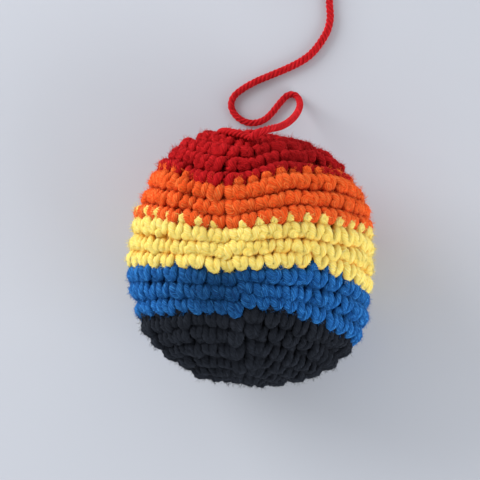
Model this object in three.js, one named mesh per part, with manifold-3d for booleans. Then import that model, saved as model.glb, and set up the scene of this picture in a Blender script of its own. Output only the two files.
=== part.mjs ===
// A small play ball, crocheted in rounds of single crochet from thick cotton yarn and filled with
// loose fibre. It lies on its side: the pole where it was begun, in black, points to -Y, and the
// pole where it was drawn shut, in red, points to +Y. The end of the red yarn comes out beside
// that pole and trails over the surface that the ball lies on. Millimetres, +Z up, and the origin
// under the middle of the ball.

import * as THREE from "three";
import { mergeVertices } from "three/addons/utils/BufferGeometryUtils.js";
import Module from "manifold-3d";

// The ball
const BALL_WIDTH = 60;
const BALL_LENGTH = 62;
const BALL_HEIGHT = 46;
const SQUARENESS = 2.3; // 2 is an ellipsoid, and more fills out its corners
const REST_DEPTH = 1.5; // how deep its underside is pressed flat
const POLE_LIFT = 6; // degrees by which the first pole is tipped up
const FABRIC_THICKNESS = 3.4;
const FILLING_CLEARANCE = 0.3;
const BAND_CLEARANCE = 0.3;

// The filling pushes it out a little at two places: degrees from +X, and degrees of spread
const SWELLING_HEIGHT = 2;
const SWELLINGS = [
  { azimuth: 117, spread: 20 },
  { azimuth: 323, spread: 22 },
];

// The crochet: rounds grow by six stitches to the full count, stay there, and shrink again
const STEP_STITCHES = 6;
const FULL_STITCHES = 42;
const COLOUR_ROUNDS = 3; // rounds of each colour between the two poles
const ROUND_CENTRE_RELIEF = 0; // how far a stitch's middle lies below the ball's outer surface
const ROUND_SIDE_RELIEF = 0.75; // the same between two stitches of a round
const FOOT_RELIEF = 0.5; // and at the point of a stitch, where it grips the round before
const HOLE_RELIEF = 1.4; // and in the hole between two such points
const FOOT_REACH = 0.24; // of a round, by which a stitch's point hangs over the round before
const HOLE_RISE = 0.12; // of a round, by which the hole lies above that round's edge
const CREST_PLACE = 0.42; // of a round, from its edge to its fullest place

// The seam, where each round is joined to its own start
const SEAM_AZIMUTH = -7; // degrees from the top, towards +X
const START_DIP = 0.45; // of a round, by which it lies lower where it starts
const START_DIP_TURNS = 0.1; // of the way about the ball, in which it rises from there
const END_DIP = 0.7; // of a round, by which it has sunk where it ends
const END_DIP_TURNS = 0.25; // of the way about the ball, in which it does
const DIP_GROWTH = 3; // rounds from a pole in which the dips grow to their full depth
const FURROW_DEPTH = 0.8; // of the crease along the seam
const FURROW_WIDTH = 3.5;

// The lining is the fabric's smooth inner side, and the filling has the same facets
const LINING_COLUMNS = FULL_STITCHES;
const LINING_ROUNDS = 1.8; // rounds between two rings of the lining, at most

// The yarn, and what is wound and tied from it
const YARN_DIAMETER = 1.9;
const TIGHT_YARN_DIAMETER = 1.6; // where a knot or ring pulls it thin
const POLE_RING_RADIUS = 1.15; // to the middle of the yarn
const POLE_RING_DEPTH = 1.5;
const POLE_RING_SIDES = 6;
const POLE_RING_STEPS = 12;
const KNOT_RADIUS = 2.1;
const KNOT_SWING = 1.05; // how far the knot's three lobes reach in and out
const KNOT_LIFT = 1.1;
const KNOT_END_LENGTH = 3.2; // of the ends, to each side
const KNOT_END_RISE = 0.5; // of the ends, past the lobes
const KNOT_OPENING = 0.3; // radians of its winding left out at each end
const KNOT_SINK = 0.5; // how much deeper it lies, because the lining curves towards it
const KNOT_CLEARANCE = 0.3;
const KNOT_POINTS = 26;
const KNOT_SIDES = 6;
const KNOT_STEPS = 34;
const POCKET_SIDES = 12;

// The loose end: a route chosen by hand, and a flat coil of the rest of it
const TAIL_CLEARANCE = 0.3;
const TAIL_REST_HEIGHT = 1; // of the middle of the yarn where it lies on the surface
const TAIL_EXIT = { rounds: 18.25, turn: 0.012 }; // on the ball, in rounds and turns from the seam
const TAIL_SLANT = 45; // degrees by which it leans towards +X as it leaves the fabric
const TAIL_FALL = [
  [2.1, 30.0, 35.1],
  [3.6, 30.9, 33.5],
  [5.0, 31.9, 30.4],
  [6.1, 33.5, 26.0],
  [6.9, 35.7, 20.0],
  [7.3, 38.1, 13.5],
  [7.6, 40.8, 7.6],
  [7.5, 43.3, 3.4],
  [6.8, 45.2, 1.5],
];
const TAIL_PATH = [
  [5.9, 46.1],
  [4.7, 46.3],
  [3.6, 45.8],
  [2.3, 44.3],
  [1.0, 42.4],
  [-0.1, 40.8],
  [-1.6, 39.2],
  [-3.7, 38.1],
  [-6.2, 37.9],
  [-8.6, 38.8],
  [-10.4, 40.5],
  [-11.2, 42.6],
  [-10.6, 44.8],
  [-8.4, 47.0],
  [-4.7, 49.4],
  [-1.1, 51.2],
  [2.5, 53.0],
  [6.0, 55.0],
  [8.9, 57.3],
  [11.3, 60.6],
  [13.0, 64.2],
  [13.5, 67.7],
  [13.0, 71.5],
];
const TAIL_SIDES = 8;
const TAIL_STEPS = 64;
const COIL_LOOPS = 2;
const COIL_RADIUS = 11.5; // of its outermost loop
const COIL_PITCH = 2.7;
const COIL_CENTRE = { x: 0.5, y: 87 };
const COIL_SIDES = 6;
const COIL_STEPS = 24; // in each loop

const RAD = Math.PI / 180;
const X_AXIS = new THREE.Vector3(1, 0, 0);
const GROWING_ROUNDS = FULL_STITCHES / STEP_STITCHES;
const STRAIGHT_BANDS = 3;
const ROUNDS = 2 * GROWING_ROUNDS + STRAIGHT_BANDS * COLOUR_ROUNDS - 1;
const LAST_BAND_START = GROWING_ROUNDS + STRAIGHT_BANDS * COLOUR_ROUNDS;
const POLE_HOLE_RADIUS = POLE_RING_RADIUS + TIGHT_YARN_DIAMETER / 2 + 2 * BAND_CLEARANCE;
const POLE_START = POLE_HOLE_RADIUS / ((Math.PI * BALL_LENGTH) / 2 / ROUNDS);

const wasm = await Module();
wasm.setup();

// The number of stitches in a round, counted from 0 at the black pole.
function stitchesIn(round) {
  const grown = STEP_STITCHES * (round + 1);
  const left = STEP_STITCHES * (ROUNDS - round);
  return Math.min(FULL_STITCHES, grown, left);
}

// How far a place has sunk towards the black pole, in rounds: the rounds dip on both sides of
// the seam, less near the poles.
function seamDip(rounds, turn) {
  const start = START_DIP * (1 - THREE.MathUtils.smoothstep(turn, 0, START_DIP_TURNS));
  const end = END_DIP * THREE.MathUtils.smoothstep(turn, 1 - END_DIP_TURNS, 1);
  const fromPole = Math.min(rounds, ROUNDS - rounds);
  return (start + end) * THREE.MathUtils.smoothstep(fromPole, 0, DIP_GROWTH);
}

// How far the swellings push the surface out in a direction: each is a bell round its middle.
function swellingAt(direction) {
  return SWELLINGS.reduce((all, { azimuth, spread }) => {
    const middle = new THREE.Vector3(Math.cos(azimuth * RAD), Math.sin(azimuth * RAD), 0);
    const away = direction.angleTo(middle) / (spread * RAD);
    return all + SWELLING_HEIGHT * Math.exp(-away * away);
  }, 0);
}

// The ball's outer surface and its outward normal. A place on it is counted in rounds from the
// black pole and in turns from the seam, and its normal is that of the squared ellipsoid.
function outerSurface(rounds, turn) {
  const polar = (Math.PI * rounds) / ROUNDS;
  const azimuth = SEAM_AZIMUTH * RAD + 2 * Math.PI * turn;
  const point = new THREE.Vector3(
    Math.sin(polar) * Math.sin(azimuth),
    -Math.cos(polar),
    Math.sin(polar) * Math.cos(azimuth),
  ).applyAxisAngle(X_AXIS, -POLE_LIFT * RAD);
  const half = new THREE.Vector3(BALL_WIDTH, BALL_LENGTH, BALL_HEIGHT).divideScalar(2);
  const share = point.clone().divide(half);
  const sum = share.toArray().reduce((all, v) => all + Math.abs(v) ** SQUARENESS, 0);
  point.multiplyScalar(sum ** (-1 / SQUARENESS) + swellingAt(point));
  const slope = (v) => Math.sign(v) * Math.abs(v) ** (SQUARENESS - 1);
  const normal = new THREE.Vector3(slope(share.x), slope(share.y), slope(share.z))
    .divide(half)
    .normalize();
  point.z += BALL_HEIGHT / 2 - REST_DEPTH;
  return { point, normal };
}

// A point below the outer surface: layer is the fabric or filling that it lies under, which stays
// that far above the ground too, and relief is the depth of the stitches on it.
function pointAt(rounds, turn, layer, relief = 0) {
  const { point, normal } = outerSurface(rounds, turn);
  const seam = -BALL_WIDTH / 2 * Math.sin(-SEAM_AZIMUTH * RAD);
  const across = (point.x - seam) / FURROW_WIDTH;
  const furrow = FURROW_DEPTH * Math.exp(-across * across) * Math.max(0, normal.z);
  point.addScaledVector(normal, -(layer + relief));
  point.z = Math.max(point.z - furrow, layer);
  return point;
}

// How many rounds make a given length along the fabric there.
function roundsFor(length, rounds, turn) {
  const step = 0.1;
  const before = pointAt(rounds - step / 2, turn, 0);
  const after = pointAt(rounds + step / 2, turn, 0);
  return (length * step) / before.distanceTo(after);
}

// A ring is a list of points round the ball, each with its place from 0 to 1 along the round.
function ring(count, pointOf) {
  const turns = Array.from({ length: count }, (_, i) => i / count);
  return { turns, points: turns.map((turn, i) => pointOf(turn, i)) };
}

// The edge between two rounds: it hangs down at each stitch's point and rises at each hole.
// A gap moves it along the fabric, to leave room for the next colour.
function edgeRing(round, stitches, gap = 0) {
  return ring(2 * stitches, (turn, i) => {
    const foot = i % 2 === 1;
    const rounds = round + (foot ? -FOOT_REACH : HOLE_RISE) - seamDip(round, turn);
    const moved = rounds + roundsFor(gap, rounds, turn);
    return pointAt(moved, turn, 0, foot ? FOOT_RELIEF : HOLE_RELIEF);
  });
}

// The crest of a round, its fullest place: each stitch swells in its middle.
function crestRing(rounds, stitches) {
  return ring(2 * stitches, (turn, i) => {
    const relief = i % 2 === 1 ? ROUND_CENTRE_RELIEF : ROUND_SIDE_RELIEF;
    return pointAt(rounds - seamDip(rounds, turn), turn, 0, relief);
  });
}

// The edge of the small hole at a pole.
function poleRing(rounds) {
  return ring(2 * STEP_STITCHES, (turn) => pointAt(rounds, turn, 0, FOOT_RELIEF));
}

// A smooth ring of the lining, which dips with the rounds, moved along the fabric by a gap.
function liningRing(rounds, gap = 0) {
  return ring(LINING_COLUMNS, (turn) => {
    const dipped = rounds - seamDip(rounds, turn);
    return pointAt(dipped + roundsFor(gap, dipped, turn), turn, FABRIC_THICKNESS);
  });
}

// A ring of the filling, just inside the lining.
function fillingRing(rounds) {
  return ring(LINING_COLUMNS, (turn) =>
    pointAt(rounds - seamDip(rounds, turn), turn, FABRIC_THICKNESS + FILLING_CLEARANCE),
  );
}

// The rounds at which the lining has its rings from one end of a band to the other.
function liningRounds(first, last) {
  const parts = Math.max(1, Math.ceil((last - first) / LINING_ROUNDS));
  return Array.from({ length: parts + 1 }, (_, i) => first + ((last - first) * i) / parts);
}

// Triangles between each ring and the next, whatever their numbers of points. A ring of one point
// is a pole. Closed joins the last ring to the first again. Where two rings have a point at the
// same place, the fuller ring goes first, so that two faces across a gap get the same triangles.
function skinOf(rings, closed) {
  const starts = [];
  const positions = [];
  for (const { points } of rings) {
    starts.push(positions.length / 3);
    for (const p of points) positions.push(p.x, p.y, p.z);
  }
  const index = [];
  const pairs = closed ? rings.length : rings.length - 1;
  for (let k = 0; k < pairs; k++) {
    const next = (k + 1) % rings.length;
    const low = rings[k].turns;
    const high = rings[next].turns;
    const lowEnd = low.length === 1 ? 0 : low.length;
    const highEnd = high.length === 1 ? 0 : high.length;
    let i = 0;
    let j = 0;
    while (i < lowEnd || j < highEnd) {
      const a = starts[k] + (i % low.length);
      const b = starts[next] + (j % high.length);
      const lowNext = i < lowEnd ? (low[i + 1] ?? 1) : Infinity;
      const highNext = j < highEnd ? (high[j + 1] ?? 1) : Infinity;
      const lowFirst = lowEnd >= highEnd ? lowNext <= highNext : lowNext < highNext;
      if (lowFirst) {
        i += 1;
        index.push(a, starts[k] + (i % low.length), b);
      } else {
        j += 1;
        index.push(a, starts[next] + (j % high.length), b);
      }
    }
  }
  const skin = new THREE.BufferGeometry();
  skin.setAttribute("position", new THREE.Float32BufferAttribute(positions, 3));
  skin.setIndex(index);
  skin.computeVertexNormals();
  return skin;
}

// One colour of the fabric: its stitched outside from the first round to before the last, the
// cut faces of its two edges, and its smooth lining.
function fabricBand(first, last) {
  const atStart = first === 0;
  const atEnd = last === ROUNDS;
  const outside = [];
  for (let round = first; round < last; round++) {
    const stitches = stitchesIn(round);
    if (round === 0) outside.push(poleRing(POLE_START));
    else outside.push(edgeRing(round, stitches, round === first ? BAND_CLEARANCE / 2 : 0));
    const low = round === 0 ? POLE_START : round;
    const high = round === ROUNDS - 1 ? ROUNDS - POLE_START : round + 1;
    outside.push(crestRing(low + (high - low) * CREST_PLACE, stitches));
  }
  if (atEnd) outside.push(poleRing(ROUNDS - POLE_START));
  else outside.push(edgeRing(last, stitchesIn(last), -BAND_CLEARANCE / 2));
  const lining = liningRounds(first, last).map((rounds, i, all) => {
    if (i === 0) return atStart ? liningRing(POLE_START) : liningRing(rounds, BAND_CLEARANCE / 2);
    if (i < all.length - 1) return liningRing(rounds);
    return atEnd ? liningRing(ROUNDS - POLE_START) : liningRing(rounds, -BAND_CLEARANCE / 2);
  });
  return skinOf([...outside, ...lining.reverse()], true);
}

// A closed geometry as a solid for joining and cutting, and a solid as a geometry.
function toSolid(geometry) {
  const bare = geometry.index ? geometry.toNonIndexed() : geometry.clone();
  bare.deleteAttribute("normal");
  bare.deleteAttribute("uv");
  const mergeDistance = 1e-4;
  const merged = mergeVertices(bare, mergeDistance);
  return new wasm.Manifold(
    new wasm.Mesh({
      numProp: 3,
      vertProperties: new Float32Array(merged.attributes.position.array),
      triVerts: new Uint32Array(merged.index.array),
    }),
  );
}

function toGeometry(solid) {
  const mesh = solid.getMesh();
  const made = new THREE.BufferGeometry();
  made.setAttribute("position", new THREE.Float32BufferAttribute(mesh.vertProperties, 3));
  made.setIndex(Array.from(mesh.triVerts));
  made.computeVertexNormals();
  return made;
}

// A tube of yarn along a smooth line through points.
function yarnTube(points, diameter, sides, steps) {
  const section = new THREE.Shape();
  for (let i = 0; i < sides; i++) {
    const angle = (2 * Math.PI * i) / sides;
    const x = (diameter / 2) * Math.cos(angle);
    const y = (diameter / 2) * Math.sin(angle);
    if (i === 0) section.moveTo(x, y);
    else section.lineTo(x, y);
  }
  const extrudePath = new THREE.CatmullRomCurve3(points, false, "centripetal");
  return new THREE.ExtrudeGeometry(section, { steps, extrudePath, bevelEnabled: false });
}

// The yarn drawn into a ring at a pole, in the fabric's small hole.
function poleRingMesh(rounds) {
  const { normal } = outerSurface(rounds, 0);
  const ringOfYarn = new THREE.TorusGeometry(
    POLE_RING_RADIUS,
    TIGHT_YARN_DIAMETER / 2,
    POLE_RING_SIDES,
    POLE_RING_STEPS,
  );
  ringOfYarn.applyQuaternion(
    new THREE.Quaternion().setFromUnitVectors(new THREE.Vector3(0, 0, 1), normal),
  );
  const place = pointAt(rounds, 0, 0, POLE_RING_DEPTH);
  return ringOfYarn.translate(place.x, place.y, place.z);
}

// An overhand knot of two yarn ends, lying in the XY plane with its short ends along X.
function knotPoints() {
  const reach = KNOT_RADIUS + KNOT_SWING;
  const points = [];
  points.push(new THREE.Vector3(-KNOT_END_LENGTH, reach + KNOT_END_RISE, KNOT_LIFT));
  for (let i = 0; i <= KNOT_POINTS; i++) {
    const t = KNOT_OPENING + ((2 * Math.PI - 2 * KNOT_OPENING) * i) / KNOT_POINTS;
    const around = KNOT_RADIUS + KNOT_SWING * Math.cos(3 * t);
    points.push(
      new THREE.Vector3(
        around * Math.sin(2 * t),
        around * Math.cos(2 * t),
        KNOT_LIFT * Math.sin(3 * t),
      ),
    );
  }
  points.push(new THREE.Vector3(KNOT_END_LENGTH, reach + KNOT_END_RISE, -KNOT_LIFT));
  return points;
}

// Where the knot of a colour change lies: against the lining, with its length along the round.
function knotPlace(round) {
  const turn = 0.5 / FULL_STITCHES;
  const { normal } = outerSurface(round, turn);
  const halfHeight = KNOT_LIFT + TIGHT_YARN_DIAMETER / 2;
  const depth = FABRIC_THICKNESS + KNOT_CLEARANCE + halfHeight + KNOT_SINK;
  const near = 0.01;
  const along = pointAt(round, turn + near, 0).sub(pointAt(round, turn - near, 0)).normalize();
  const across = new THREE.Vector3().crossVectors(normal, along).normalize();
  const turned = new THREE.Matrix4().makeBasis(
    new THREE.Vector3().crossVectors(across, normal),
    across,
    normal,
  );
  return turned.setPosition(pointAt(round, turn, depth));
}

// The room that the filling leaves for a knot: a round hollow, open towards the lining.
function knotPocket(round) {
  const around = TIGHT_YARN_DIAMETER / 2 + KNOT_CLEARANCE;
  const reach = Math.hypot(KNOT_END_LENGTH, KNOT_RADIUS + KNOT_SWING + KNOT_END_RISE);
  const depth = KNOT_LIFT + around;
  const height = depth + FABRIC_THICKNESS;
  const radius = reach + around;
  const room = new THREE.CylinderGeometry(radius, radius, height, POCKET_SIDES);
  room.rotateX(Math.PI / 2).translate(0, 0, height / 2 - depth);
  return room.applyMatrix4(knotPlace(round));
}

// The filling, one soft body with the lining's facets and a hollow for each knot.
function fillingGeometry(knotRounds) {
  const edges = [0, ...knotRounds, ROUNDS];
  const rings = [];
  for (let k = 0; k + 1 < edges.length; k++) {
    for (const rounds of liningRounds(edges[k], edges[k + 1]).slice(0, -1)) rings.push(rounds);
  }
  const pole = (rounds) => ({
    turns: [0],
    points: [pointAt(rounds, 0, FABRIC_THICKNESS + FILLING_CLEARANCE)],
  });
  const body = skinOf(
    [
      pole(0),
      ...rings.slice(1).map((rounds) => fillingRing(rounds)),
      pole(ROUNDS),
    ],
    false,
  );
  let filling = toSolid(body);
  for (const round of knotRounds) filling = filling.subtract(toSolid(knotPocket(round)));
  return toGeometry(filling);
}

// The points of the loose end from the fabric to the coil. It starts slanted, so far from the
// fabric that the rim of its end keeps the clearance.
function tailPoints(coilStart) {
  const { rounds, turn } = TAIL_EXIT;
  const { normal } = outerSurface(rounds, turn);
  const slant = TAIL_SLANT * RAD;
  const standOff = TAIL_CLEARANCE + (YARN_DIAMETER / 2) * Math.sin(slant);
  const start = pointAt(rounds, turn, 0, -standOff);
  const aside = X_AXIS.clone().addScaledVector(normal, -normal.x).normalize();
  const heading = normal.multiplyScalar(Math.cos(slant)).addScaledVector(aside, Math.sin(slant));
  const out = start.clone().addScaledVector(heading, YARN_DIAMETER);
  const fall = TAIL_FALL.map(([x, y, z]) => new THREE.Vector3(x, y, z));
  const path = TAIL_PATH.map(([x, y]) => new THREE.Vector3(x, y, TAIL_REST_HEIGHT));
  const meet = coilStart.clone().add(new THREE.Vector3(0, -TAIL_CLEARANCE, 0));
  const straight = meet.clone().add(new THREE.Vector3(0, -YARN_DIAMETER, 0));
  return [start, out, ...fall, ...path, straight, meet];
}

// The points of the flat coil, which winds inwards from a straight start along +Y.
function coilPoints() {
  const points = [];
  for (let i = 0; i <= COIL_LOOPS * COIL_STEPS; i++) {
    const angle = (2 * Math.PI * i) / COIL_STEPS;
    const radius = COIL_RADIUS - (COIL_PITCH * i) / COIL_STEPS;
    points.push(
      new THREE.Vector3(
        COIL_CENTRE.x + radius * Math.cos(angle),
        COIL_CENTRE.y + radius * Math.sin(angle),
        TAIL_REST_HEIGHT,
      ),
    );
  }
  const first = points[0].clone().add(new THREE.Vector3(0, -YARN_DIAMETER, 0));
  return [first, ...points];
}

// The least gap of a coil's yarn to itself, over points more than half a loop apart.
function leastSelfGap(points, diameter) {
  const apart = COIL_STEPS / 2;
  let least = Infinity;
  for (let i = 0; i < points.length; i++) {
    for (let j = i + apart; j < points.length; j++) {
      least = Math.min(least, points[i].distanceTo(points[j]) - diameter);
    }
  }
  return least;
}

const black = new THREE.MeshStandardMaterial({ color: 0x1d2125, roughness: 0.95, metalness: 0 });
const blue = new THREE.MeshStandardMaterial({ color: 0x1c69b4, roughness: 0.95, metalness: 0 });
const yellow = new THREE.MeshStandardMaterial({ color: 0xf3cc66, roughness: 0.95, metalness: 0 });
const orange = new THREE.MeshStandardMaterial({ color: 0xd25528, roughness: 0.95, metalness: 0 });
const red = new THREE.MeshStandardMaterial({ color: 0xc01d20, roughness: 0.95, metalness: 0 });
const fibre = new THREE.MeshStandardMaterial({ color: 0xf1efe9, roughness: 1, metalness: 0 });

const BANDS = [
  { name: "black_base", material: black, rounds: GROWING_ROUNDS },
  { name: "blue_band", material: blue, rounds: COLOUR_ROUNDS },
  { name: "yellow_band", material: yellow, rounds: COLOUR_ROUNDS },
  { name: "orange_band", material: orange, rounds: COLOUR_ROUNDS },
  { name: "red_crown", material: red, rounds: ROUNDS - LAST_BAND_START },
];
const KNOTS = ["knot_black_blue", "knot_blue_yellow", "knot_yellow_orange", "knot_orange_red"];

const ball = new THREE.Group();
const loose = new THREE.Group();

function addMesh(group, name, geometry, material) {
  const mesh = new THREE.Mesh(geometry, material);
  mesh.name = name;
  group.add(mesh);
  return mesh;
}

let nextRound = 0;
const changes = [];
for (const { name, material, rounds } of BANDS) {
  addMesh(ball, name, fabricBand(nextRound, nextRound + rounds), material);
  nextRound += rounds;
  if (nextRound < ROUNDS) changes.push(nextRound);
}

addMesh(ball, "filling", fillingGeometry(changes), fibre);
addMesh(ball, "magic_ring", poleRingMesh(0), black);
addMesh(ball, "closing_ring", poleRingMesh(ROUNDS), red);
changes.forEach((round, i) => {
  const knot = yarnTube(knotPoints(), TIGHT_YARN_DIAMETER, KNOT_SIDES, KNOT_STEPS);
  addMesh(ball, KNOTS[i], knot.applyMatrix4(knotPlace(round)), BANDS[i + 1].material);
});

const coil = coilPoints();
const tail = tailPoints(coil[0]);
addMesh(loose, "yarn_tail", yarnTube(tail, YARN_DIAMETER, TAIL_SIDES, TAIL_STEPS), red);
const coilTube = yarnTube(coil, YARN_DIAMETER, COIL_SIDES, coil.length - 1);
addMesh(loose, "yarn_tail_coil", coilTube, red);
const lengthOf = (points) =>
  new THREE.CatmullRomCurve3(points, false, "centripetal").getLength();
console.log(`least gap of the coil to itself ${leastSelfGap(coil, YARN_DIAMETER).toFixed(2)} mm`);
console.log(`loose end ${(lengthOf(tail) + lengthOf(coil)).toFixed(1)} mm long`);

const part = new THREE.Group();
part.add(ball, loose);
export default part;
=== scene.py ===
"""A small play ball, crocheted in striped rounds of single crochet and lightly filled.

It lies on its side on a pale floor and is seen from almost straight above. Every stitch is laid
as yarn: one long twisted strand for each colour goes up and down through its rounds. Sizes are
millimetres until a mesh is made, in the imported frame: +Z up, and +Y from the pole where the work
was begun, in black, to the pole where it was drawn shut, in red.
"""

from __future__ import annotations

import logging
import math
from dataclasses import dataclass, replace
from enum import Enum

import bpy
import numpy as np
from bpy.types import ID, Material, Node, NodeSocket, Object
from mathutils import Matrix, Vector

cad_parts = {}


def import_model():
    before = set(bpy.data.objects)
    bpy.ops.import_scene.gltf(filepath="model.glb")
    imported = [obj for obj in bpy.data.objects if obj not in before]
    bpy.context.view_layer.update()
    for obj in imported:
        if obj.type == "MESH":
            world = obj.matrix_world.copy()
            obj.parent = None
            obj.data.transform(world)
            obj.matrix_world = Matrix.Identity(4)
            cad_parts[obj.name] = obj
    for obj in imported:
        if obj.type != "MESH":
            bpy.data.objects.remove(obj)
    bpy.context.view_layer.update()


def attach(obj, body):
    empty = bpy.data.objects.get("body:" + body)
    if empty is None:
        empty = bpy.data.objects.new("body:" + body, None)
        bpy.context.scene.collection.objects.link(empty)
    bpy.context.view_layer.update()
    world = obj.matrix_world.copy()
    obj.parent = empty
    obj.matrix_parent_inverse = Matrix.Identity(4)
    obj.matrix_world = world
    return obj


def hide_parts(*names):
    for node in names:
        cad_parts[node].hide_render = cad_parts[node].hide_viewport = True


LOG = logging.getLogger("crocheted_ball")
METRES = 0.001
BODY = "root"
SEED = 8
CIRCLE = 2.0 * math.pi
Array = np.ndarray
Pair = tuple[float, float]
Triple = tuple[float, float, float]


def unit(vectors: Array) -> Array:
    """Scales each vector along an array's last axis to length 1."""
    return vectors / np.maximum(np.linalg.norm(vectors, axis=-1, keepdims=True), 1e-9)


def smooth_step(values: Array, start: float, end: float) -> Array:
    """Rises from 0 at start to 1 at end, level at both: t squared times (3 - 2t)."""
    share = np.clip((values - start) / (end - start), 0.0, 1.0)
    return share * share * (3.0 - 2.0 * share)


def bell(values: Array, reach: float) -> Array:
    """Falls from 1 at 0 to nothing well past its reach: exp(-(value / reach) squared)."""
    return np.exp(-((values / reach) ** 2))


def distance_along(path: Array) -> Array:
    """The length of a path up to each of its points."""
    return np.concatenate([[0.0], np.cumsum(np.linalg.norm(np.diff(path, axis=0), axis=1))])


@dataclass(frozen=True)
class Swelling:
    """A place where the filling pushes the ball out: a bell round a level direction in degrees."""

    azimuth: float
    height: float
    spread: float

    def at(self, direction: Array) -> Array:
        """How far it pushes the surface out: height times a bell of the angle from its middle.

        Args:
            direction: unit vectors from the middle of the ball.

        Returns:
            One length for each direction.
        """
        turned = math.radians(self.azimuth)
        middle = np.array([math.cos(turned), math.sin(turned), 0.0])
        angle = np.arccos(np.clip(direction @ middle, -1.0, 1.0))
        return self.height * bell(angle, math.radians(self.spread))


@dataclass(frozen=True)
class Lumps:
    """The unevenness of a hand-filled ball: low waves in many directions."""

    height: float = 0.1
    waves: int = 9
    shortest: float = 8.0
    longest: float = 17.0

    def at(self, points: Array) -> Array:
        """How far they push the fabric out: height times a sum of sines along random directions.

        Args:
            points: places on the ball.

        Returns:
            One length for each place.
        """
        random = np.random.default_rng(SEED)
        direction = unit(random.normal(0.0, 1.0, (self.waves, 3)))
        length = random.uniform(self.shortest, self.longest, self.waves)
        shift = random.uniform(0.0, 1.0, self.waves)
        phase = points @ (direction / length[:, None]).T + shift
        return self.height * np.sum(np.sin(CIRCLE * phase), axis=-1)


@dataclass(frozen=True)
class BallShape:
    """The ball's outer surface: a squared ellipsoid, pressed flat where it lies.

    A place on it is counted in rounds from the black pole and in turns about the ball from the
    seam, as the crochet is.
    """

    width: float = 60.0
    length: float = 62.0
    height: float = 46.0
    squareness: float = 2.3
    rest_depth: float = 1.5
    pole_lift: float = 6.0
    swellings: tuple[Swelling, ...] = (
        Swelling(117.0, 2.0, 20.0),
        Swelling(323.0, 2.0, 22.0),
        Swelling(64.0, 0.6, 12.0),
        Swelling(234.0, -0.8, 14.0),
    )
    fabric: float = 3.4
    clearance: float = 0.3
    step_stitches: int = 6
    full_stitches: int = 42
    colour_rounds: int = 3
    straight_bands: int = 3
    seam_azimuth: float = -7.0
    start_dip: Pair = (0.1, 0.95)
    start_dip_turns: float = 0.12
    end_dip: Pair = (0.7, 1.0)
    end_dip_turns: float = 0.25
    dip_rounds: Pair = (7.0, 13.0)
    dip_growth: float = 3.0
    furrow_depth: float = 0.35
    furrow_width: float = 3.5
    pole_hole: float = 2.55

    @property
    def growing_rounds(self) -> int:
        """The rounds in which the work grows to its full count."""
        return self.full_stitches // self.step_stitches

    @property
    def rounds(self) -> int:
        """All the rounds from pole to pole."""
        return 2 * self.growing_rounds + self.straight_bands * self.colour_rounds - 1

    @property
    def pole_start(self) -> float:
        """The place of the pole hole's edge, in rounds from the pole."""
        return self.pole_hole / (math.pi * self.length / 2.0 / self.rounds)

    def stitches_in(self, number: int) -> int:
        """The stitches of a round, counted from 0 at the black pole."""
        return min(self.full_stitches, self.step_stitches * min(number + 1, self.rounds - number))

    def sink(self, rounds: Array, turns: Array) -> Array:
        """How far a round has sunk towards the black pole, on both sides of the seam.

        The dips are smooth steps along the round. Their depths run evenly from their first value
        to their second between the two dip rounds, and grow from nothing at the poles.

        Args:
            rounds: places in rounds from the black pole.
            turns: places along the round, from 0 to 1.

        Returns:
            The depth of the sinking, in rounds.
        """
        start_depth = np.interp(rounds, self.dip_rounds, self.start_dip)
        end_depth = np.interp(rounds, self.dip_rounds, self.end_dip)
        start = start_depth * (1.0 - smooth_step(turns, 0.0, self.start_dip_turns))
        end = end_depth * smooth_step(turns, 1.0 - self.end_dip_turns, 1.0)
        from_pole = np.minimum(rounds, self.rounds - rounds)
        return (start + end) * smooth_step(from_pole, 0.0, self.dip_growth)

    def outer(self, rounds: Array, turns: Array) -> tuple[Array, Array]:
        """The outer surface and its normal.

        A direction d at a polar angle of pi times the share of the rounds, and an azimuth of one
        circle a turn, is tipped by the pole's lift. The sum of |d / half| to the power of the
        squareness, whose root divides it, gives its length, to which the swellings add, and that
        sum's slope gives the normal.

        Args:
            rounds: places in rounds from the black pole.
            turns: places in turns from the seam, of the same shape.

        Returns:
            The points and the outward normals.
        """
        polar = math.pi * rounds / self.rounds
        azimuth = math.radians(self.seam_azimuth) + CIRCLE * turns
        y = -np.cos(polar)
        z = np.sin(polar) * np.cos(azimuth)
        lift = math.radians(self.pole_lift)
        tipped_y = y * math.cos(lift) + z * math.sin(lift)
        tipped_z = z * math.cos(lift) - y * math.sin(lift)
        direction = np.stack([np.sin(polar) * np.sin(azimuth), tipped_y, tipped_z], axis=-1)
        half = np.array([self.width, self.length, self.height]) / 2.0
        share = direction / half
        total = np.sum(np.abs(share) ** self.squareness, axis=-1, keepdims=True)
        swollen = sum(swelling.at(direction) for swelling in self.swellings)
        points = direction * (total ** (-1.0 / self.squareness) + swollen[..., None])
        normals = unit(np.sign(share) * np.abs(share) ** (self.squareness - 1.0) / half)
        points[..., 2] += self.height / 2.0 - self.rest_depth
        return points, normals

    def at(self, rounds: Array, turns: Array, depth: Array, floor: Array) -> tuple[Array, Array]:
        """Points below the outer surface, sunk along the seam in a crease with a bell's section.

        Args:
            rounds: places in rounds from the black pole.
            turns: places in turns from the seam.
            depth: how far below the surface each point lies.
            floor: the least height of each point above the ground.

        Returns:
            The points and the outward normals of the surface above them.
        """
        points, normals = self.outer(rounds, turns)
        middle = self.width / 2.0 * math.sin(math.radians(self.seam_azimuth))
        across = bell(points[..., 0] - middle, self.furrow_width)
        crease = self.furrow_depth * across * np.maximum(0.0, normals[..., 2])
        points = points - np.asarray(depth)[..., None] * normals
        points[..., 2] = np.maximum(points[..., 2] - crease, floor)
        return points, normals


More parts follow.
